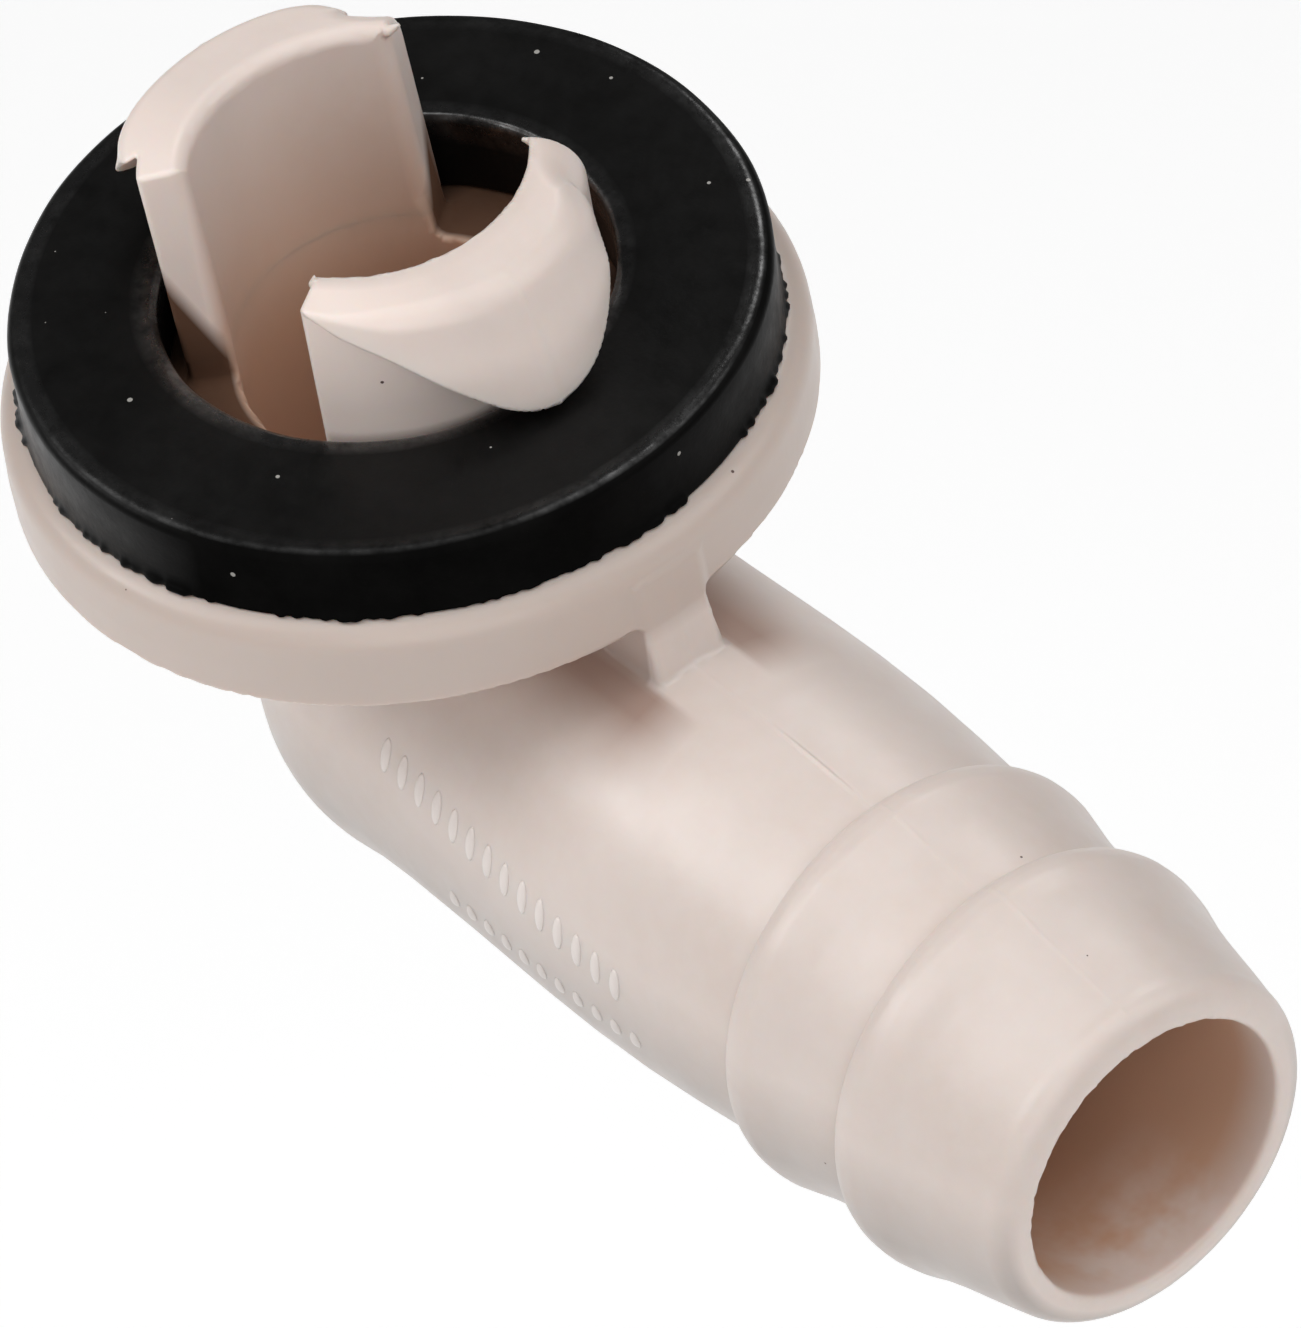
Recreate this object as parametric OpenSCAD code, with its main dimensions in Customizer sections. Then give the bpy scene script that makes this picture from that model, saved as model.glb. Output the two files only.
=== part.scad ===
// Condensate drain elbow: a snap-in spigot with a rubber sealing washer, a right-angle
// elbow and a hose tail with two ridges.
// +Z runs up the spigot axis and +X along the hose tail.
// The origin is on the spigot axis, in the top face of the flange. All sizes are in millimetres.

/* [Drain passage] */
// Diameter of the passage down through the spigot
inlet_d = 13; // [12.4:0.1:13.4]
// Diameter of the passage along the hose tail
outlet_d = 12.4; // [11:0.1:12.8]

/* [Flange] */
// Diameter of the flange that the washer lies on
flange_d = 32.8; // [32.6:0.2:36]
// Thickness of the flange
flange_h = 3.3; // [2.8:0.1:4]
// Radius of the rounding round the flange's top edge
flange_edge_r = 1.1; // [0.6:0.1:1.2]

/* [Elbow] */
// Outside diameter of the neck between the flange and the pipe
neck_d = 16.2; // [15.6:0.1:17]
// Outside diameter of the pipe at the elbow
pipe_d = 18.1; // [17.4:0.1:18.3]
// Outside diameter of the pipe half way along, where it is a little fatter
belly_d = 18.5; // [18.3:0.1:18.8]
// Distance from the flange's top face down to the axis of the hose tail
tail_drop = 15.6; // [15:0.1:20]
// Width of the stop rib between the flange and the pipe
rib_w = 3.2; // [2:0.1:5]

/* [Hose tail] */
// Distance from the spigot axis to the mouth of the hose tail
tail_len = 43.5; // [43:0.5:50]
// Diameter of the crest of each ridge
ridge_d = 18.9; // [18.8:0.1:20]
// Distance from the spigot axis to the foot of the first ridge
ridge_x = 26.3; // [25:0.1:27]
// Distance from the first ridge to the second
ridge_pitch = 6.6; // [6.2:0.1:7.2]
// Diameter in the grooves behind the two ridges
groove_d = 17.4; // [16.6:0.1:18]
// Diameter at the end of the tail, where its lip starts to round
nose_d = 15.7; // [15:0.1:16.4]

/* [Snap legs] */
// Distance across the shanks of the two legs, outside
shank_d = 17; // [16.2:0.1:17.6]
// Half of the angle that each leg takes up round the spigot, in degrees
leg_half_angle = 55; // [35:1:60]
// Height of the front leg above the flange's top face
front_leg_h = 10.2; // [9.8:0.1:12]
// Height of the rear leg, which is moulded a little taller
rear_leg_h = 10.8; // [9.8:0.1:12]
// Angle that the rear leg leans out from the spigot axis, in degrees
rear_lean = 4; // [0:0.5:5]
// Distance across the points of the two hooks
hook_d = 21.8; // [20:0.1:22]
// Height of the hooks' points above the flange's top face
hook_z = 4.1; // [4.1:0.1:5]
// Distance across the shoulders where the slope down the hooks begins
shoulder_d = 18.8; // [18:0.1:19.4]
// Angle of the hooks' undersides above the horizontal, in degrees
hook_rise = 55; // [45:1:60]

/* [Sealing washer] */
// Outside diameter of the washer at its base
washer_d = 30.8; // [28:0.2:32]
// Diameter of the washer's hole
washer_hole_d = 18.2; // [18:0.1:19]
// Thickness of the washer
washer_h = 3.7; // [3:0.1:3.7]

/* [Hidden] */
$fn = 96;
neck_r = neck_d / 2;
pipe_r = pipe_d / 2;
belly_r = belly_d / 2;
inlet_r = inlet_d / 2;
outlet_r = outlet_d / 2;
shank_r = shank_d / 2;
flange_r = flange_d / 2;
// How far one solid runs into the next, so that they join
overlap = 1;
// Distance from the spigot axis to where the full round pipe begins
corner_x = 2;
// Distance along the tail that a ridge takes to rise, and length of its crest
ridge_rise = 1.8;
ridge_crest = 1.6;
// Width and depth of the tail's rounded lip, outside and inside the mouth
lip = 0.7;
// How far the stop rib stands out past the flange where it meets the pipe
rib_toe = 0.6;
// Fall of the legs' top faces, from the inner edge to the shoulder
leg_top_fall = 0.3;
// How much the washer's outer wall tapers in, and the chamfers on its top edges
washer_taper = 0.15;
washer_chamfer = 0.7;
// Length that is longer than the part in every direction
far = 60;

// Moves the Z axis onto the axis of the hose tail
module along_tail() {
    translate([0, 0, -tail_drop])
        rotate([0, 90, 0])
            children();
}

// Flange below Z = 0, with a rounded top edge and a sharp lower edge
module flange() {
    rotate_extrude() {
        translate([0, -flange_h])
            square([flange_r - flange_edge_r, flange_h]);
        translate([0, -flange_h])
            square([flange_r, flange_h - flange_edge_r]);
        translate([flange_r - flange_edge_r, -flange_edge_r])
            circle(r = flange_edge_r);
    }
}

// Neck under the flange, which ends in a ball level with the underside of the pipe, and
// the ball that closes the end of the pipe
module neck() {
    ball_z = neck_r - pipe_r - tail_drop;
    translate([0, 0, ball_z]) {
        cylinder(r = neck_r, h = -ball_z - flange_h + overlap);
        sphere(r = neck_r);
    }
    translate([corner_x, 0, -tail_drop])
        sphere(r = pipe_r);
}

// Pipe and hose tail: each ridge rises quickly, and its far side falls slowly to the mouth
module pipe() {
    second_x = ridge_x + ridge_pitch;
    ridge_r = ridge_d / 2;
    groove_r = groove_d / 2;
    along_tail()
        rotate_extrude()
            polygon([
                [0, corner_x],
                [pipe_r, corner_x],
                [belly_r, ridge_x * 0.45],
                [belly_r, ridge_x * 0.8],
                [groove_r, ridge_x],
                [ridge_r, ridge_x + ridge_rise],
                [ridge_r, ridge_x + ridge_rise + ridge_crest],
                [groove_r, second_x],
                [ridge_r, second_x + ridge_rise],
                [ridge_r, second_x + ridge_rise + ridge_crest],
                [(groove_r + nose_d / 2) / 2, (second_x + ridge_rise + ridge_crest + tail_len) / 2],
                [nose_d / 2, tail_len - lip],
                [nose_d / 2 - lip, tail_len],
                [0, tail_len],
            ]);
}

// Rib that joins the flange to the pipe in front of the neck; its toe stands a little proud
module stop_rib() {
    translate([0, rib_w / 2, 0])
        rotate([90, 0, 0])
            linear_extrude(rib_w)
                polygon([
                    [0, -flange_h / 2],
                    [flange_r - overlap / 2, -flange_h / 2],
                    [flange_r, -flange_h],
                    [flange_r + rib_toe, pipe_r - tail_drop],
                    [flange_r + rib_toe, -tail_drop + pipe_r - overlap],
                    [0, -tail_drop + pipe_r - overlap],
                ]);
}

// Water passage: down the spigot, round the corner and out at the mouth
module passage() {
    translate([0, 0, -tail_drop])
        cylinder(r = inlet_r, h = tail_drop + overlap);
    translate([0, 0, -tail_drop])
        sphere(r = inlet_r);
    along_tail() {
        cylinder(r = outlet_r, h = tail_len + overlap);
        translate([0, 0, tail_len - lip])
            cylinder(r1 = outlet_r, r2 = outlet_r + lip, h = lip);
    }
}

module elbow_body() {
    color("#DACBC3")
        difference() {
            union() {
                flange();
                neck();
                pipe();
                stop_rib();
            }
            passage();
        }
}

// Everything within half_angle degrees of the +X direction, and above Z = 0
module sector(half_angle) {
    linear_extrude(far)
        polygon([
            [0, 0],
            [far, -far * tan(half_angle)],
            [far, far * tan(half_angle)],
        ]);
}

// A leg at +X, standing on Z = 0: an arc of tube whose outside swells into a hook.
// The hook's underside is one plane that rises towards the leg's two side edges.
module snap_leg(height, point_z) {
    intersection() {
        sector(leg_half_angle);
        difference() {
            rotate_extrude()
                polygon([
                    [inlet_r, 0],
                    [shank_r, 0],
                    [shank_r, point_z],
                    [hook_d / 2, point_z],
                    [shoulder_d / 2, height - leg_top_fall],
                    [inlet_r, height],
                ]);
            difference() {
                translate([hook_d / 2, 0, point_z])
                    rotate([0, hook_rise, 0])
                        translate([-far / 2, -far / 2, -far])
                            cube([far, far, far]);
                cylinder(r = shank_r, h = far, center = true);
            }
        }
    }
}

module front_snap_leg() {
    color("#DDD0C8")
        snap_leg(front_leg_h, hook_z);
}

// The rear leg leans out about the inner edge of its foot, which is trimmed level. Its
// hook starts higher up the leg, so that the lean brings it down to the front one's level.
module rear_snap_leg() {
    foot_x = inlet_r * cos(leg_half_angle);
    point_z = hook_z + (hook_d / 2 - foot_x) * tan(rear_lean);
    color("#D6C8C0")
        mirror([1, 0, 0])
            intersection() {
                translate([foot_x, 0, 0])
                    rotate([0, rear_lean, 0])
                        translate([-foot_x, 0, 0])
                            snap_leg(rear_leg_h, point_z);
                translate([-far / 2, -far / 2, 0])
                    cube(far);
            }
}

// Rubber washer that lies on the flange; its outer wall tapers towards the top
module sealing_washer() {
    hole_r = washer_hole_d / 2;
    top_r = washer_d / 2 - washer_taper;
    color("#1C1C1C")
        rotate_extrude()
            polygon([
                [hole_r, 0],
                [washer_d / 2, 0],
                [top_r, washer_h - washer_chamfer],
                [top_r - washer_chamfer, washer_h],
                [hole_r + washer_chamfer, washer_h],
                [hole_r, washer_h - washer_chamfer],
            ]);
}

elbow_body();
front_snap_leg();
rear_snap_leg();
sealing_washer();
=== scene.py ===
"""Condensate drain elbow: detailed surfaces, materials, light and camera around the CAD frame.

The moulding's surfaces are distance fields in millimetres, so that every wall, hook, rib and
ridge meets the next in a fillet. Each field is turned into one closed mesh, in metres.
"""

import itertools
import math

import bmesh
import bpy
import numpy as np
from mathutils import Matrix, Vector


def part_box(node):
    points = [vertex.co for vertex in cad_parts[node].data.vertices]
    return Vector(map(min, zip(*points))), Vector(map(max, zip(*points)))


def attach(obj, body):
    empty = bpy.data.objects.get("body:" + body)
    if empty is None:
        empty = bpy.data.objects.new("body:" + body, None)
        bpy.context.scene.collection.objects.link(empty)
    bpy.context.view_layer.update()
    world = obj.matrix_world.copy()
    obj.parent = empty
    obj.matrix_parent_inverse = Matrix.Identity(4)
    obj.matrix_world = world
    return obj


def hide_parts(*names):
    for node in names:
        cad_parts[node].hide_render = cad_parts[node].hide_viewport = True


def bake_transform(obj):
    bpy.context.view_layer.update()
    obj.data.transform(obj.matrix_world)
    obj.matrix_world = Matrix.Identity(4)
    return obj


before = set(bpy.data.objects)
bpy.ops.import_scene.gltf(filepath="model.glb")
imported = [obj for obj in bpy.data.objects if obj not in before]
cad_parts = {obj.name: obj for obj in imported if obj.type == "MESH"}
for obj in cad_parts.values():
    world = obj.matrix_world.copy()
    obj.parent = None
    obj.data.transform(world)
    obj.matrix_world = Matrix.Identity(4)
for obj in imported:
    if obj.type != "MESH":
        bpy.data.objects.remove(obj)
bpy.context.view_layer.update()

MM = 0.001

# ---------------------------------------------------------------- driving sizes, millimetres


def node_box(node):
    """Lowest and highest corners of a CAD node, in millimetres."""
    low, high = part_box(node)
    return np.array(low) / MM, np.array(high) / MM


BODY_LOW, BODY_HIGH = node_box("elbow_body")
WASHER_LOW, WASHER_HIGH = node_box("sealing_washer")
FRONT_LOW, FRONT_HIGH = node_box("front_snap_leg")
REAR_LOW, REAR_HIGH = node_box("rear_snap_leg")

INLET_R = 6.5
OUTLET_R = 6.2
TAIL_LEN = BODY_HIGH[0]
TAIL_Z = -15.6
FLANGE_R = BODY_HIGH[1]
FLANGE_H = 3.3
NECK_R = 7.75
# Radius of the ball that closes the pipe, and how far its middle is from the spigot's axis
ELBOW_R = 9.1
ELBOW_X = 2.0
RIB_HALF = 1.6
SHANK_R = 8.5
LEG_HALF_ANGLE = math.radians(57)
# The rear leg's right side is moulded narrower
REAR_RIGHT_ANGLE = math.radians(51.5)
FRONT_TOP = FRONT_HIGH[2]
REAR_LEAN = math.radians(5)
# Height at which the legs are cut off the elbow
LEG_CUT_Z = 1.2
# The tip of a hook's underside
HOOK_X = 11.05
HOOK_Z = 3.85
# Where the steps of the tail's two ridges are, and the radii of their crests
RIDGE_X = (28.05, 34.62)
RIDGE_R = (9.44, 9.34)


def ridge_crest(start, crest_r):
    """Outline of a ridge from its step to its crest: steep at first, then levelling off."""
    places = np.array([0.07, 0.17, 0.42, 0.86, 1.46])
    return [(start + s, crest_r - 0.47 * (1 - s / places[-1]) ** 3.4) for s in places]


# Outside radius of the tail along its length: the pipe, two ridges and the nose
TAIL_PROFILE = np.array([
    (ELBOW_X, ELBOW_R), (4.0, 9.07), (6.0, 9.05), (10.0, 9.14), (15.0, 9.31), (18.0, 9.35),
    (21.0, 9.28), (24.0, 9.08), (26.0, 8.90), (RIDGE_X[0], 8.70),
    *ridge_crest(RIDGE_X[0], RIDGE_R[0]),
    (30.3, 9.24), (31.3, 8.97), (32.5, 8.74), (RIDGE_X[1], 8.38),
    *ridge_crest(RIDGE_X[1], RIDGE_R[1]),
    (36.9, 9.18), (37.9, 8.84), (39.2, 8.53), (40.9, 8.20), (42.4, 7.88), (TAIL_LEN + 1, 7.65),
])
# Outside profile of the front hook down the middle of the leg: height, radius
HOOK_PROFILE = np.array([
    (3.6, 11.0), (4.5, 10.98), (6.72, 10.56), (7.95, 9.98), (9.2, 9.60), (9.97, 9.36), (11.5, 8.9),
])

# ---------------------------------------------------------------- distance fields


def smooth_table(table, sigma, step=0.05):
    """A profile resampled finely, with its corners rounded off over about sigma."""
    s = np.arange(table[0, 0], table[-1, 0] + step, step)
    value = np.interp(s, table[:, 0], table[:, 1])
    reach = int(4 * sigma / step)
    kernel = np.exp(-0.5 * (np.arange(-reach, reach + 1) * step / sigma) ** 2)
    padded = np.pad(value, reach, mode="edge")
    return s, np.convolve(padded, kernel / kernel.sum(), mode="valid")


TAIL_S, TAIL_R = smooth_table(TAIL_PROFILE, 0.055, 0.02)
HOOK_S, HOOK_R = smooth_table(HOOK_PROFILE, 0.35)


def join(a, b, r):
    """Union of two fields, with a fillet of radius r."""
    return np.maximum(r, np.minimum(a, b)) - np.hypot(np.maximum(r - a, 0), np.maximum(r - b, 0))


def both(a, b, r):
    """What is inside both fields, with its edges rounded to radius r."""
    return np.minimum(-r, np.maximum(a, b)) + np.hypot(np.maximum(r + a, 0), np.maximum(r + b, 0))


def ball(x, y, z, r):
    return np.sqrt(x * x + y * y + z * z) - r


def smooth(value, low, high):
    """0 below low and 1 above high, with a smooth step between."""
    t = np.clip((value - low) / (high - low), 0, 1)
    return t * t * (3 - 2 * t)


def bead(across, half_width, height):
    """Height of a thin raised line at a distance across from its middle."""
    return height * np.exp(-(across / half_width) ** 2)


def tail(x, y, z):
    """Pipe and ridged hose tail, closed at the elbow by a ball and open at the mouth."""
    drop = z - TAIL_Z
    axis_r = np.hypot(y, drop)
    wall = axis_r - np.interp(x, TAIL_S, TAIL_R)
    # the mould's parting line: a fine raised line along the pipe, plainest before the ridges
    strong = 0.2 + 0.8 * np.exp(-((x - 24.4) / 2.5) ** 2)
    wall = wall - bead(y, 0.10, 0.075) * strong
    outside = np.where(x < ELBOW_X, ball(x - ELBOW_X, y, drop, ELBOW_R), wall)
    mouth = x - TAIL_LEN - 0.03 * drop
    outside = both(outside, mouth, 1.05)
    # the upper left of the mouth's inner edge is ragged with flash
    turn = np.arctan2(y, drop)
    flash = 0.05 * np.sin(19 * turn + 1) + 0.04 * np.sin(43 * turn) + 0.03 * np.sin(71 * turn + 2)
    flash = (0.06 + flash) * np.exp(-((mouth + 0.25) / 0.45) ** 2) * smooth(np.cos(turn + 0.6), -0.1, 0.6)
    return both(outside, OUTLET_R - flash - axis_r, 0.32)


def neck(x, y, z):
    """Neck under the flange, with a ball for its lower end."""
    ball_z = NECK_R - ELBOW_R + TAIL_Z
    up = np.maximum(ball_z - z, 0)
    return np.maximum(ball(x, y, up, NECK_R), z + 1.0)


def flange(x, y, z):
    """Flange with a rounded top edge; its underside is a little lower on the -Y side."""
    spigot_r = np.hypot(x, y)
    edge = FLANGE_R - 0.03 * np.abs(z + 2.4)
    underside = -FLANGE_H - 0.14 - 0.008 * x + 0.028 * y
    return both(both(spigot_r - edge, z, 1.15), underside - z, 0.16)


def rib(x, y, z):
    """Stop rib in front of the neck; its foot swells a little where it meets the pipe."""
    front = 16.45 + 0.65 * np.clip((-FLANGE_H - z) / 3.4, 0, 1)
    half = RIB_HALF + 0.12 * np.clip((-4.2 - z) / 2.5, 0, 1) - 0.05 * np.clip(-y, 0, 1)
    sides = np.abs(y) - half
    face = x - front - bead(y, 0.14, 0.03)
    length = np.maximum(both(sides, face, 0.28), 2.0 - x)
    return np.maximum(length, np.maximum(z + 1.5, -z - 14.0))


def hook_outside(z, turn, fade):
    """Radius of the hook's outside at a height; fade is how much of it is left at that angle."""
    middle = np.interp(z, HOOK_S, HOOK_R) + bead(turn, 0.018, 0.04)
    return SHANK_R + 0.05 + (middle - SHANK_R - 0.05) * fade


def leg(x, y, z, top, lift, wide, fall, left_fade, shoulder, right_angle):
    """A leg at +X: an arc of rod whose outside swells into a hook; the passage hollows it later.

    lift raises the hook and wide swells it. fall is the slope of the top face. left_fade is how
    the hook fades on its -Y side, and shoulder is the rounding of the top edge there. The +Y
    side ends at right_angle, and its top is rounded off much more.
    """
    r = np.hypot(x, y)
    turn = np.arctan2(y, np.maximum(x, 0.5))
    half = np.where(y > 0, right_angle, LEG_HALF_ANGLE)
    side = np.abs(y) * np.cos(half) - x * np.sin(half)
    right_fade = np.cos(np.clip(1.5 * turn, 0, 1.5)) * (1 - smooth(turn, 0.5, right_angle - 0.1))
    fade = np.where(turn > 0, right_fade, left_fade(turn))
    outside = 0.9 * (r - hook_outside(z - lift, turn, fade) - wide * fade)
    past = HOOK_X + wide - x
    under = 0.64 * (HOOK_Z + (1.25 - 0.045 * past) * past - (z - lift))
    hook = both(outside, under, 0.22)
    solid = join(r - SHANK_R, hook, 0.12)
    land = top - fall * np.maximum(r - INLET_R, 0) * (1 - smooth(-turn, 0.5, 0.95))
    ragged_lip = 0.5 + 0.3 * np.sin(23 * turn + 1) + 0.3 * np.sin(41 * turn)
    land = land + bead(r - INLET_R, 0.16, 0.06) * ragged_lip
    round_right = 1.3 * smooth(turn, 0.35, 0.85)
    round_left = -(shoulder - 0.22) * smooth(-turn, 0.5, 0.9)
    solid = both(solid, z - land, shoulder + np.where(turn > 0, round_right, round_left))
    return both(solid, side, 0.25)


def thorn(x, y, z, root, tip, r_root, r_tip):
    """A tapering thorn of flash from root to tip."""
    root, tip = np.array(root), np.array(tip)
    line = tip - root
    px, py, pz = x - root[0], y - root[1], z - root[2]
    t = np.clip((px * line[0] + py * line[1] + pz * line[2]) / (line @ line), 0, 1)
    return ball(px - t * line[0], py - t * line[1], pz - t * line[2], r_root + (r_tip - r_root) * t)


def leg_corner(angle, top, r):
    """A top corner of a leg at +X, at an angle from its middle and on the radius r."""
    return np.array([r * math.cos(angle), r * math.sin(angle), top])


def front_leg(x, y, z):
    def left_fade(turn):
        return (0.36 + 0.64 * np.exp(-(turn / 0.43) ** 2)) * (1 - 0.6 * smooth(-turn, 0.8, 1.0))

    return leg(x, y, z, FRONT_TOP - 0.1, 0.0, 0.0, 0.13, left_fade, 0.8, LEG_HALF_ANGLE)


def rear_frame(x, y, z):
    """Turns a place into the rear leg's own frame, where it stands upright at +X."""
    foot = INLET_R * math.cos(LEG_HALF_ANGLE)
    c, s = math.cos(REAR_LEAN), math.sin(REAR_LEAN)
    return foot + (-x - foot) * c - z * s, y, (-x - foot) * s + z * c


REAR_TOP = REAR_HIGH[2] + 0.05


def rear_leg(x, y, z):
    """The leg at -X leans out about the inner edge of its foot."""
    return leg(*rear_frame(x, y, z), REAR_TOP, 1.5, 0.1, 0.04,
               lambda turn: np.exp(-(turn / 0.88) ** 6), 0.4, REAR_RIGHT_ANGLE)


def thorns(x, y, z):
    """Small thorns of flash on the legs' top inner corners."""
    left = leg_corner(-LEG_HALF_ANGLE, FRONT_TOP - 0.4, INLET_R + 0.2)
    right = leg_corner(LEG_HALF_ANGLE, FRONT_TOP - 0.55, INLET_R + 0.2)
    front = join(
        thorn(x, y, z, left, left + (0.12, 0.06, 0.45), 0.20, 0.07),
        thorn(x, y, z, right, right + (-0.25, -0.40, 0.28), 0.20, 0.08), 0.01)
    top = leg_corner(REAR_RIGHT_ANGLE, REAR_TOP - 0.4, INLET_R + 0.4)
    rear = thorn(*rear_frame(x, y, z), top, top + (-0.30, 0.42, 0.22), 0.24, 0.08)
    return np.where(x > 0, front, rear)


def passage(x, y, z):
    """Water passage: down the spigot, round the corner and along the tail."""
    # above the flange it leans out with the rear leg
    lean = math.tan(REAR_LEAN) * (z + np.hypot(z, 0.8)) / 2 * np.clip(-x / 3, 0, 1)
    down = np.hypot(x + lean, y) - INLET_R
    down = np.where(z > TAIL_Z, down, ball(x, y, z - TAIL_Z, INLET_R))
    along = np.maximum(np.hypot(y, z - TAIL_Z) - OUTLET_R, -x)
    return join(down, along, 0.3)


def elbow(x, y, z):
    solid = join(tail(x, y, z), neck(x, y, z), 1.7)
    solid = join(solid, rib(x, y, z), 0.18)
    solid = join(solid, flange(x, y, z), 0.4)
    return solid


def moulding(x, y, z):
    """The whole plastic moulding, with both legs."""
    solid = elbow(x, y, z)
    legs = np.where(x > 0, front_leg(x, y, z), rear_leg(x, y, z))
    solid = np.where(z > -2, join(solid, legs, 0.45), solid)
    soft_edge = 0.14 + 0.60 * np.clip(z / 2, 0, 1) * np.clip(-x / 2, 0, 1)
    solid = both(solid, -passage(x, y, z), soft_edge)
    return np.where(z > 7, join(solid, thorns(x, y, z), 0.1), solid)


# ---------------------------------------------------------------- field to mesh


def grid_lines(low, high, step, fine=()):
    """Grid lines from low to past high, closer together inside each (start, end, step) of fine."""
    lines = [low]
    while lines[-1] < high:
        here = lines[-1]
        steps = [s for a, b, s in fine if a - s <= here < b]
        lines.append(here + min(steps + [step]))
    return np.array(lines)


def slope(field, p, h=0.01):
    """Gradient of a field at points p, by central differences."""
    g = np.empty_like(p)
    for axis in range(3):
        step = np.zeros(3)
        step[axis] = h
        g[:, axis] = (field(*(p + step).T) - field(*(p - step).T)) / (2 * h)
    return g


def surface_net(field, lines):
    """Points and quads of the surface field = 0 on a box grid, pulled onto the surface."""
    value = field(*np.meshgrid(*lines, indexing="ij"))
    inside = value < 0
    cells_shape = [n - 1 for n in value.shape]
    count = np.zeros(cells_shape, np.int8)
    for a, b, c in itertools.product((0, 1), repeat=3):
        count += inside[
            a: a + cells_shape[0], b: b + cells_shape[1], c: c + cells_shape[2]]
    active = (count > 0) & (count < 8)
    number = np.full(cells_shape, -1, np.int64)
    number[active] = np.arange(active.sum())
    cells = np.argwhere(active)

    total = np.zeros((len(cells), 3))
    hits = np.zeros(len(cells))
    for axis in range(3):
        for a, b in itertools.product((0, 1), repeat=2):
            near = cells.copy()
            near[:, (axis + 1) % 3] += a
            near[:, (axis + 2) % 3] += b
            far = near.copy()
            far[:, axis] += 1
            v0, v1 = value[tuple(near.T)], value[tuple(far.T)]
            cut = (v0 < 0) != (v1 < 0)
            t = v0[cut] / (v0[cut] - v1[cut])
            for k in range(3):
                at0, at1 = lines[k][near[cut, k]], lines[k][far[cut, k]]
                total[cut, k] += at0 + (at1 - at0) * t
            hits[cut] += 1
    points = total / hits[:, None]

    quads = []
    for axis in range(3):
        u, v = (axis + 1) % 3, (axis + 2) % 3
        low = [slice(None)] * 3
        low[axis] = slice(0, -1)
        high = [slice(None)] * 3
        high[axis] = slice(1, None)
        for s in (u, v):
            low[s] = high[s] = slice(1, -1)
        first, second = inside[tuple(low)], inside[tuple(high)]
        at = np.argwhere(first != second)
        out = first[tuple(at.T)]
        at[:, u] += 1
        at[:, v] += 1
        ring = []
        for du, dv in ((-1, -1), (0, -1), (0, 0), (-1, 0)):
            cell = at.copy()
            cell[:, u] += du
            cell[:, v] += dv
            ring.append(number[tuple(cell.T)])
        ring = np.stack(ring, axis=1)
        quads.append(np.where(out[:, None], ring, ring[:, ::-1]))
    quads = np.concatenate(quads)

    for _ in range(5):
        f = np.clip(field(*points.T), -0.2, 0.2)
        g = slope(field, points)
        points -= (f / np.maximum((g * g).sum(1), 0.05))[:, None] * g
    return points, quads


def piece(name, points, faces, material):
    """A mesh object from points in millimetres."""
    mesh = bpy.data.meshes.new(name)
    mesh.from_pydata((np.asarray(points) * MM).tolist(), [], np.asarray(faces).tolist())
    mesh.materials.append(material)
    obj = bpy.data.objects.new(name, mesh)
    bpy.context.scene.collection.objects.link(obj)
    mesh.shade_smooth()
    return obj


def cut_flat(obj, z, keep_above):
    """Cuts obj off flat at height z in millimetres and caps it."""
    bm = bmesh.new()
    bm.from_mesh(obj.data)
    found = bmesh.ops.bisect_plane(
        bm, geom=bm.verts[:] + bm.edges[:] + bm.faces[:], dist=1e-7,
        plane_co=(0, 0, z * MM), plane_no=(0, 0, 1),
        clear_outer=not keep_above, clear_inner=keep_above)
    edges = [e for e in found["geom_cut"] if isinstance(e, bmesh.types.BMEdge) and e.is_boundary]
    caps = bmesh.ops.edgeloop_fill(bm, edges=edges)["faces"]
    for face in caps:
        face.smooth = False
    bmesh.ops.recalc_face_normals(bm, faces=bm.faces)
    bm.to_mesh(obj.data)
    bm.free()


def shade_from(obj, field):
    """Gives obj's smooth faces the exact normals of its field."""
    mesh = obj.data
    p = np.empty(len(mesh.vertices) * 3)
    mesh.vertices.foreach_get("co", p)
    normals = slope(field, p.reshape(-1, 3) / MM)
    normals /= np.maximum(np.linalg.norm(normals, axis=1), 1e-9)[:, None]
    corner_vertex = np.empty(len(mesh.loops), np.int64)
    mesh.loops.foreach_get("vertex_index", corner_vertex)
    corners = normals[corner_vertex]
    for face in mesh.polygons:
        if not face.use_smooth:
            corners[list(face.loop_indices)] = face.normal
    mesh.normals_split_custom_set(corners.tolist())


# ---------------------------------------------------------------- materials


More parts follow.
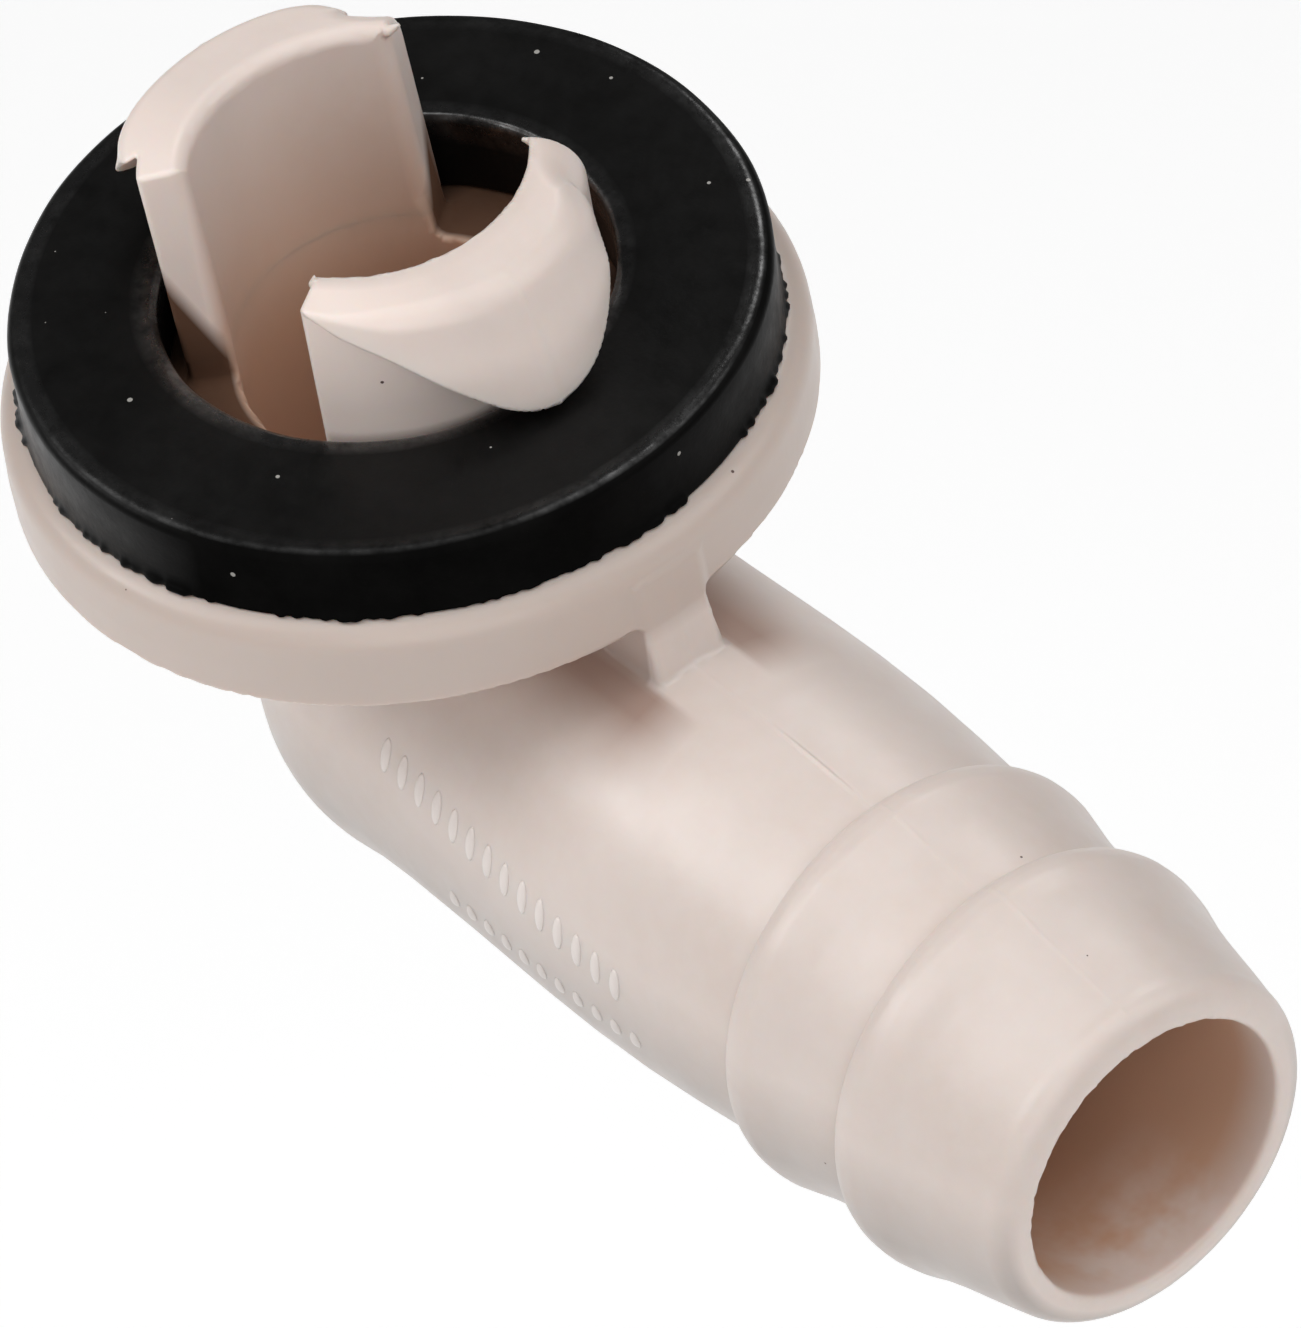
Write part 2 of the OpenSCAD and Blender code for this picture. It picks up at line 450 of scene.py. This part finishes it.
class Nodes:
    """Shorthand for building a material's node tree."""

    def __init__(self, name):
        self.material = bpy.data.materials.new(name)
        self.material.use_nodes = True
        self.tree = self.material.node_tree
        self.shader = self.tree.nodes["Principled BSDF"]
        self.place = self.add("ShaderNodeTexCoord").outputs["Object"]

    def add(self, kind, **values):
        node = self.tree.nodes.new(kind)
        for key, value in values.items():
            setattr(node, key, value)
        return node

    def link(self, out, socket):
        self.tree.links.new(out, socket)

    def axes(self):
        """The x, y and z of a place on the surface, in metres."""
        part = self.add("ShaderNodeSeparateXYZ")
        self.link(self.place, part.inputs["Vector"])
        return part.outputs

    def noise(self, scale, detail=2.0, rough=0.5):
        node = self.add("ShaderNodeTexNoise")
        node.inputs["Scale"].default_value = scale
        node.inputs["Detail"].default_value = detail
        node.inputs["Roughness"].default_value = rough
        self.link(self.place, node.inputs["Vector"])
        return node.outputs["Fac"]

    def spots(self, scale, radius, share):
        """1 in scattered round spots: radius is in cells, and share is how many cells have one."""
        cells = self.add("ShaderNodeTexVoronoi")
        cells.inputs["Scale"].default_value = scale
        self.link(self.place, cells.inputs["Vector"])
        part = self.add("ShaderNodeSeparateColor")
        self.link(cells.outputs["Color"], part.inputs["Color"])
        chosen = self.maths("LESS_THAN", part.outputs["Red"], share)
        size = self.maths("MULTIPLY", part.outputs["Green"], radius)
        close = self.maths("LESS_THAN", cells.outputs["Distance"], size)
        return self.maths("MULTIPLY", chosen, close)

    def maths(self, operation, a, b):
        node = self.add("ShaderNodeMath", operation=operation)
        for socket, value in zip(node.inputs, (a, b)):
            if isinstance(value, (int, float)):
                socket.default_value = value
            else:
                self.link(value, socket)
        return node.outputs[0]

    def product(self, first, *others):
        """first times all the others."""
        for other in others:
            first = self.maths("MULTIPLY", first, other)
        return first

    def rest_of(self, value):
        """What a value leaves of 1."""
        return self.maths("SUBTRACT", 1.0, value)

    def length(self, a, b):
        """Length of the two-part vector (a, b)."""
        squares = self.maths("ADD", self.maths("MULTIPLY", a, a), self.maths("MULTIPLY", b, b))
        return self.maths("SQRT", squares, 0.0)

    def span(self, value, low, high, from_low=0.3, from_high=0.7):
        """low to high as value goes from from_low to from_high, whose defaults suit a noise."""
        node = self.add("ShaderNodeMapRange")
        self.link(value, node.inputs["Value"])
        for key, number in (("From Min", from_low), ("From Max", from_high),
                            ("To Min", low), ("To Max", high)):
            node.inputs[key].default_value = number
        return node.outputs["Result"]

    def rise(self, value, start, end):
        """0 to 1 as a length goes from start to end, in millimetres."""
        return self.span(value, 0, 1, start * MM, end * MM)

    def fall(self, value, start, end):
        """1 to 0 as a length goes from start to end, in millimetres."""
        return self.span(value, 1, 0, start * MM, end * MM)

    def mix(self, fac, a, b):
        """Colour a where fac is 0 and b where it is 1; each may be a socket or plain numbers."""
        node = self.add("ShaderNodeMix", data_type="RGBA")
        for socket, value in ((node.inputs["Factor"], fac), (node.inputs["A"], a), (node.inputs["B"], b)):
            if isinstance(value, tuple):
                socket.default_value = (*value, 1)
            elif isinstance(value, float):
                socket.default_value = value
            else:
                self.link(value, socket)
        return node.outputs["Result"]

    def bump(self, height, distance, strength, onto=None):
        """Normal of a rough surface, added onto another one's if it is given."""
        node = self.add("ShaderNodeBump")
        node.inputs["Strength"].default_value = strength
        node.inputs["Distance"].default_value = distance
        self.link(height, node.inputs["Height"])
        if onto is not None:
            self.link(onto, node.inputs["Normal"])
        return node.outputs["Normal"]


def passage_shade_mask(n, x, y, z, down, along):
    """Painted shade on the walls of the water passage: 1 there, less up the legs and in patches of
    painted light on the tail's floor.

    down and along are the distances from the spigot's axis and from the tail's.
    """
    # the spigot leans out with the rear leg
    lean = n.product(n.maths("MAXIMUM", z, 0.0), math.tan(REAR_LEAN))
    in_spigot = n.product(
        n.fall(n.maths("SUBTRACT", down, lean), 6.7, 7.2), n.fall(z, -2, 10.5), n.rise(z, -15.8, -15.4))
    in_corner = n.fall(n.length(along, x), 6.7, 7.1)
    # painted light: the floor of the tail is left paler in patches near the mouth, where light falls in
    lit_floor = n.product(
        n.fall(z, -21.4, -20.0), n.span(n.noise(330, 3, 0.7), 0, 1, 0.35, 0.6),
        n.span(x, 0, 0.8, (TAIL_LEN - 7) * MM, (TAIL_LEN - 2) * MM))
    in_tail = n.product(
        n.fall(along, OUTLET_R + 0.05, OUTLET_R + 0.4), n.fall(x, TAIL_LEN - 2.5, TAIL_LEN - 0.1),
        n.rest_of(lit_floor), n.rise(x, -0.5, 0.5))
    return n.maths("MAXIMUM", n.maths("MAXIMUM", in_spigot, in_corner), in_tail)


def nook_shade_mask(n, x, y, z):
    """Painted shade: 1 in the corners under the flange beside the rib, less on the rib itself."""
    aside = n.maths("ABSOLUTE", y, 0.0)
    rib_face = n.product(n.fall(aside, RIB_HALF + 0.1, RIB_HALF + 0.4), n.rise(x, 16.2, 16.4))
    return n.product(
        n.rise(z, -8.8, -6.8), n.span(z, 0.9, 0, -4.0 * MM, -3.4 * MM),
        n.fall(x, 17.2, 19.8), n.rise(x, 4, 7),
        n.fall(aside, 3.2, 6.0), n.span(aside, 0.55, 1, RIB_HALF * MM, (RIB_HALF + 0.6) * MM),
        n.rest_of(rib_face))


def ivory_plastic(name, depth, pale=0.0):
    """Slightly translucent satin moulding, with painted shade that makes it warmer and browner inside the
    passage and darker in its corners, and painted light on the legs.

    It has faint clouding, a few dark specks and a fine bloom. depth is how much light sinks in,
    and pale is how far the colour is turned to white, which paints a highlight.
    """
    n = Nodes(name)
    tint = n.mix(n.span(n.noise(140, 3), 0, 1), (0.725, 0.620, 0.563), (0.760, 0.665, 0.615))
    tint = n.mix(n.span(n.noise(900, 4, 0.6), 0, 0.35), tint, (0.790, 0.705, 0.665))
    x, y, z = n.axes()
    down = n.length(x, y)
    along = n.length(y, n.maths("ADD", z, -TAIL_Z * MM))
    # painted shade: the passage's walls are brown where little light reaches in
    tint = n.mix(passage_shade_mask(n, x, y, z, down, along), tint, (0.630, 0.400, 0.280))
    # painted shade: the flange's rim is a little darker
    rim = n.product(n.span(down, 0, 0.9, 14.5 * MM, 15.8 * MM), n.rise(z, -4.4, -3.6))
    tint = n.mix(rim, tint, (0.600, 0.500, 0.445))
    # painted light: the legs are a little paler, most of all on their lit -Y side
    legs = n.product(
        n.rise(z, 0.5, 3), n.rise(down, 6.7, 7.3), n.span(y, 1, 0.22, -6 * MM, -2 * MM))
    tint = n.mix(legs, tint, (0.95, 0.81, 0.745))
    # painted shade: the underside of the pipe is darker
    under = n.product(n.span(z, 0.40, 0, -18.0 * MM, -13.2 * MM), n.rise(along, 6.9, 7.4))
    tint = n.mix(under, tint, (0.06, 0.05, 0.04))
    # painted shade in the corners under the flange beside the rib
    tint = n.mix(nook_shade_mask(n, x, y, z), tint, (0.40, 0.27, 0.22))
    # painted shade: the flange's top is brown round the passage
    in_washer = n.product(n.fall(down, 9.8, 10.2), n.rise(z, -0.6, -0.3))
    foot = n.product(n.fall(z, 0.3, 1.0), n.rise(down, 6.7, 7.6), in_washer)
    tint = n.mix(foot, tint, (0.20, 0.12, 0.09))
    # painted shade: the corner round the legs' feet is dark, and it climbs higher on the rear leg's cut
    # sides
    corner = n.product(n.fall(z, 1.2, 2.4), n.rise(down, 8.3, 8.8), in_washer)
    tint = n.mix(corner, tint, (0.035, 0.020, 0.014))
    climb = n.maths("SUBTRACT", z, n.product(n.maths("SUBTRACT", down, 7.2 * MM), 2.05))
    # painted shadow on the rear leg's cut sides, between the leg and the washer
    gap_shade = n.product(
        n.fall(climb, 1.6, 3.0), n.fall(x, 1, 3), n.rise(x, -6.4, -5.2), n.rise(down, 6.55, 6.9),
        in_washer)
    tint = n.mix(gap_shade, tint, (0.13, 0.070, 0.045))
    specks = n.spots(600, 0.06, 0.30)
    tint = n.mix(specks, tint, (0.10, 0.05, 0.04))
    # painted highlight: pale turns the colour towards white
    tint = n.mix(pale, tint, (0.95, 0.90, 0.87))
    n.link(tint, n.shader.inputs["Base Color"])
    # no shine where the corner and the gap are painted with shade
    outside_painted_shade = n.rest_of(n.maths("MAXIMUM", gap_shade, corner))
    n.link(n.product(outside_painted_shade, 0.5), n.shader.inputs["Specular IOR Level"])
    n.link(n.span(n.noise(420, 4, 0.6), 0.28, 0.39), n.shader.inputs["Roughness"])
    n.shader.inputs["IOR"].default_value = 1.49
    n.shader.inputs["Subsurface Weight"].default_value = depth
    n.shader.inputs["Subsurface Radius"].default_value = (1.0, 0.50, 0.30)
    n.shader.inputs["Subsurface Scale"].default_value = 0.9 * MM
    waves = n.bump(n.noise(230, 3), 0.2 * MM, 0.16)
    n.link(n.bump(n.noise(2600, 3), 0.04 * MM, 0.16, waves), n.shader.inputs["Normal"])
    return n.material


def black_rubber():
    """Moulded rubber: a dull wall, a fine grain, shinier worn edges and a few specks of dust."""
    n = Nodes("black_rubber")
    tone = n.mix(
        n.span(n.noise(260, 5, 0.65), 0, 1), (0.0032, 0.0031, 0.0030), (0.0062, 0.0060, 0.0058))
    dust = n.spots(800, 0.10, 0.50)
    n.link(n.mix(dust, tone, (0.34, 0.33, 0.31)), n.shader.inputs["Base Color"])
    x, y, z = n.axes()
    r = n.length(x, y)
    hole_r = n.length(n.maths("ADD", x, 0.4 * MM), y)
    lip = n.product(n.fall(hole_r, 9.6, 10.2), n.rise(z, 2.4, 2.9))
    # the rim is worn shiny towards the -X-Y side and the opposite one
    aside = n.maths("ADD", x, y)
    rim = n.product(
        n.rise(r, 14.3, 14.7), n.fall(r, 14.95, 15.15),
        n.span(n.maths("ABSOLUTE", aside, 0.0), 0.25, 1, 8 * MM, 17 * MM))
    worn = n.product(n.maths("MAXIMUM", rim, lip), n.span(n.noise(900, 3, 0.7), 0.1, 1.3))
    # the outer wall is dull, apart from its -X-Y side, and a little less on the opposite one
    dull = n.product(
        n.rise(r, 14.6, 15.1), n.span(aside, -0.2, 1, -20 * MM, -9 * MM),
        n.span(aside, 1, 0.8, 12 * MM, 20 * MM))
    level = n.maths("ADD", n.product(n.rest_of(dull), 0.16), n.product(worn, 1.1))
    n.link(level, n.shader.inputs["Specular IOR Level"])
    grain = n.span(n.noise(600, 5, 0.7), 0.28, 0.46)
    n.link(n.maths("SUBTRACT", grain, n.product(worn, 0.16)), n.shader.inputs["Roughness"])
    n.shader.inputs["IOR"].default_value = 1.5
    pores = n.bump(n.noise(1500, 5, 0.65), 0.08 * MM, 0.22)
    n.link(n.bump(n.noise(300, 3), 0.2 * MM, 0.12, pores), n.shader.inputs["Normal"])
    return n.material


def floor_paper():
    """Matt white paper, which glows a little so that the background is even."""
    n = Nodes("floor_paper")
    n.link(n.mix(n.noise(30, 2), (0.93, 0.93, 0.93), (0.95, 0.95, 0.95)), n.shader.inputs["Base Color"])
    n.shader.inputs["Roughness"].default_value = 0.9
    n.shader.inputs["Emission Color"].default_value = (1, 1, 1, 1)
    n.shader.inputs["Emission Strength"].default_value = 0.28
    return n.material


IVORY = ivory_plastic("ivory_plastic", 0.30)
# thin raised marks are lit like the wall under them, so light does not sink into them; their paler colour
# is a painted highlight
IVORY_MARKS = ivory_plastic("ivory_marks", 0.0, 0.45)
RUBBER = black_rubber()

# ---------------------------------------------------------------- the moulding

# The grid is finer at the ridges' steps, the mouth, the parting line and the flange's two edges
COARSE = 0.34
ridge_steps = [(x - 0.25, x + 0.65, 0.08) for x in RIDGE_X]
mouth_edge = (TAIL_LEN - 1.7, TAIL_LEN + 0.4, 0.12)
flange_edges = [(-FLANGE_H - 0.85, -FLANGE_H + 0.55, 0.15), (-1.2, 0.2, 0.2)]
body_lines = [
    grid_lines(BODY_LOW[0] - 0.6, BODY_HIGH[0] + 0.5, COARSE, [*ridge_steps, mouth_edge]),
    grid_lines(-FLANGE_R - 0.6, FLANGE_R + 0.5, COARSE, [(-0.45, 0.45, 0.09)]),
    grid_lines(BODY_LOW[2] - 0.6, LEG_CUT_Z + 0.9, COARSE, flange_edges),
]
points, quads = surface_net(moulding, body_lines)
elbow_moulding = piece("elbow_moulding", points, quads, IVORY)
cut_flat(elbow_moulding, LEG_CUT_Z, keep_above=False)
shade_from(elbow_moulding, moulding)
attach(elbow_moulding, "elbow")
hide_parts("elbow_body")

LEG_STEP = 0.14


def leg_piece(name, low, high, node):
    """The part of the moulding above LEG_CUT_Z inside a leg's box."""
    lines = [grid_lines(a - 0.7, b + 0.7, LEG_STEP) for a, b in zip(low, high)]
    lines[2] = grid_lines(LEG_CUT_Z - 0.6, high[2] + 0.8, LEG_STEP)
    points, quads = surface_net(moulding, lines)
    obj = piece(name, points, quads, IVORY)
    cut_flat(obj, LEG_CUT_Z, keep_above=True)
    shade_from(obj, moulding)
    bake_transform(obj)
    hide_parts(node)


leg_piece("front_hook_leg", FRONT_LOW, FRONT_HIGH, "front_snap_leg")
leg_piece("rear_hook_leg", REAR_LOW, REAR_HIGH, "rear_snap_leg")

# ---------------------------------------------------------------- raised dots on the pipe


def raised_dots():
    """Two rows of small raised ovals on the side of the pipe, where such parts carry marks."""
    rings, around = 5, 16
    points, faces = [], []
    # angle round the pipe, first x, count, pitch, half length along and round the pipe, and
    # how far the row turns downwards from one oval to the next
    rows = [(-68, 6.5, 14, 1.15, 0.30, 0.85, 1.1), (-99, 10.6, 11, 1.15, 0.28, 0.50, 0)]
    for angle, start, count, pitch, half_x, half_turn, fall in rows:
        for i in range(count):
            x0 = start + i * pitch
            a0 = math.radians(angle - fall * i)
            r0 = np.interp(x0, TAIL_S, TAIL_R)
            first = len(points)
            for k in range(rings + 1):
                t = k / rings
                rise = 0.15 * (1 - t ** 3) - 0.02 * t
                for j in range(around):
                    b = 2 * math.pi * j / around
                    dx = half_x * t * math.cos(b)
                    da = half_turn * t * math.sin(b) / r0
                    r = np.interp(x0 + dx, TAIL_S, TAIL_R) + rise
                    points.append((x0 + dx, r * math.sin(a0 + da), TAIL_Z + r * math.cos(a0 + da)))
            for k in range(rings):
                for j in range(around):
                    a, b = first + k * around + j, first + k * around + (j + 1) % around
                    faces.append((a, a + around, b + around, b))
    obj = piece("raised_dots", points, faces, IVORY_MARKS)
    bm = bmesh.new()
    bm.from_mesh(obj.data)
    # an oval's middle ring is one point, and its back is closed
    bmesh.ops.remove_doubles(bm, verts=bm.verts, dist=1e-7)
    edges = [e for e in bm.edges if e.is_boundary]
    bmesh.ops.holes_fill(bm, edges=edges, sides=around)
    bmesh.ops.recalc_face_normals(bm, faces=bm.faces)
    bm.to_mesh(obj.data)
    bm.free()
    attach(obj, "elbow")


raised_dots()

# ---------------------------------------------------------------- the washer


def ragged(turn, seed, waves):
    """Smooth random waviness around a ring, between about -1 and 1."""
    local = np.random.default_rng(seed)
    total = np.zeros_like(turn)
    for n in waves:
        total += local.normal() * np.cos(n * turn + local.uniform(0, 2 * math.pi))
    return total / math.sqrt(len(waves))


def washer():
    """Rubber washer: a lathe form with rounded edges, a ragged lip of flash and a warped top."""
    count = 720
    turn = np.arange(count) * 2 * math.pi / count
    outer, inner = WASHER_HIGH[0], 9.2
    top = WASHER_HIGH[2] + 0.10
    profile = []

    def arc(cx, cz, rx, rz, start, end, steps):
        for a in np.radians(np.linspace(start, end, steps)):
            profile.append((cx + rx * math.cos(a), cz + rz * math.sin(a)))

    profile.append((inner + 0.25, 0.02))
    arc(inner + 0.25, 0.3, 0.25, 0.28, 260, 185, 4)
    profile.extend([(inner, 0.9), (inner + 0.01, 1.7), (inner + 0.02, 2.6)])
    arc(inner + 0.42, top - 0.38, 0.40, 0.36, 180, 100, 9)
    for r in np.linspace(inner + 0.6, outer - 0.9, 16):
        profile.append((r, top - 0.02 * math.exp(0.6 - r + inner)))
    arc(outer - 0.62, top - 0.54, 0.60, 0.54, 90, 4, 12)
    for out, z in ((-0.04, 2.3), (-0.04, 1.6), (-0.03, 0.9), (-0.02, 0.55),
                   (0, 0.32), (0.03, 0.2), (0.02, 0.08), (-0.1, 0.02)):
        profile.append((outer + out, z))
    profile.extend([(r, 0.01) for r in np.linspace(outer - 0.6, inner + 0.6, 6)])

    flash = 0.10 * ragged(turn, 3, range(40, 170, 9)) + 0.10 * ragged(turn, 4, (5, 9, 14, 23))
    wave = 0.03 * ragged(turn, 5, (2, 3, 5)) + 0.012 * ragged(turn, 6, range(7, 30, 4))
    dents = 0.02 * ragged(turn, 8, (2, 3, 4, 7))
    points = []
    low_azimuth = math.radians(-32)
    for r0, z0 in profile:
        lip = math.exp(-((z0 - 0.15) / 0.2) ** 2) * (r0 > 15)
        r = r0 + lip * np.clip(flash + 0.05, 0, 0.25) + wave
        # the hole is moulded off centre
        inwards = np.clip((outer - r0) / (outer - inner), 0, 1)
        x = r * np.cos(turn) - 0.04 - 0.27 * inwards
        y = r * np.sin(turn) + 0.02 + 0.06 * inwards
        # the top is warped: its rim is low towards low_azimuth and high opposite
        warp = -0.030 * (0.3 + 0.7 * smooth(r0, 9.5, 14.5))
        tilt = warp * (x * math.cos(low_azimuth) + y * math.sin(low_azimuth))
        z = z0 + z0 / top * (tilt + dents)
        points.append(np.stack([x, y, z], axis=1))
    rows = len(points)
    faces = []
    for k in range(rows):
        a, b = k * count, (k + 1) % rows * count
        for j in range(count):
            i = (j + 1) % count
            faces.append((a + j, b + j, b + i, a + i))
    obj = piece("rubber_washer", np.concatenate(points), faces, RUBBER)
    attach(obj, "washer")
    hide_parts("sealing_washer")


washer()

# ---------------------------------------------------------------- floor, light and camera


def stage():
    """A pale floor, well below the part."""
    bpy.ops.mesh.primitive_plane_add(size=6, location=(0, 0, -0.20))
    floor = bpy.context.object
    floor.name = "floor"
    floor.data.materials.append(floor_paper())


def soft_light(name, azimuth, elevation, distance, size, power):
    """A square soft light that looks at the middle of the part."""
    a, e = math.radians(azimuth), math.radians(elevation)
    aim = Vector((0.013, 0, -0.008))
    way = Vector((math.cos(e) * math.cos(a), math.cos(e) * math.sin(a), math.sin(e)))
    data = bpy.data.lights.new(name, "AREA")
    data.shape = "SQUARE"
    data.size = size
    data.energy = power
    light = bpy.data.objects.new(name, data)
    light.location = aim + way * distance
    light.rotation_euler = way.to_track_quat("Z", "Y").to_euler()
    bpy.context.scene.collection.objects.link(light)


def camera():
    """A long lens from above the mouth of the tail, on its -Y side."""
    data = bpy.data.cameras.new("camera")
    data.sensor_fit = "VERTICAL"
    data.sensor_height = 36
    data.sensor_width = 36
    data.lens = 471.56
    data.shift_x = -0.00075
    data.shift_y = -0.00221
    data.clip_start = 0.05
    data.clip_end = 10
    cam = bpy.data.objects.new("camera", data)
    right = Vector((0.62991, 0.76479, -0.13536))
    up = Vector((-0.47340, 0.51623, 0.71373))
    back = Vector((0.61572, -0.38550, 0.68722))
    turn = Matrix((right, up, back)).transposed().to_4x4()
    cam.matrix_world = Matrix.Translation((0.43797, -0.26545, 0.46515)) @ turn
    bpy.context.scene.collection.objects.link(cam)
    bpy.context.scene.camera = cam


stage()
soft_light("left", -126, 46, 0.8, 0.50, 2.3)
soft_light("sheen", -137, 30, 0.7, 0.20, 0.50)
soft_light("top", -20, 82, 0.8, 0.70, 2.4)
soft_light("front", -34, 30, 1.0, 0.80, 3.1)
soft_light("right", 48, 42, 0.9, 0.60, 2.1)
soft_light("rim", 122, 40, 0.8, 0.20, 0.50)
camera()

world = bpy.data.worlds.new("studio")
world.use_nodes = True
background = world.node_tree.nodes["Background"]
background.inputs["Color"].default_value = (1.0, 1.0, 1.0, 1)
background.inputs["Strength"].default_value = 0.07
bpy.context.scene.world = world
bpy.context.scene.view_settings.view_transform = "Standard"
bpy.context.scene.view_settings.look = "None"
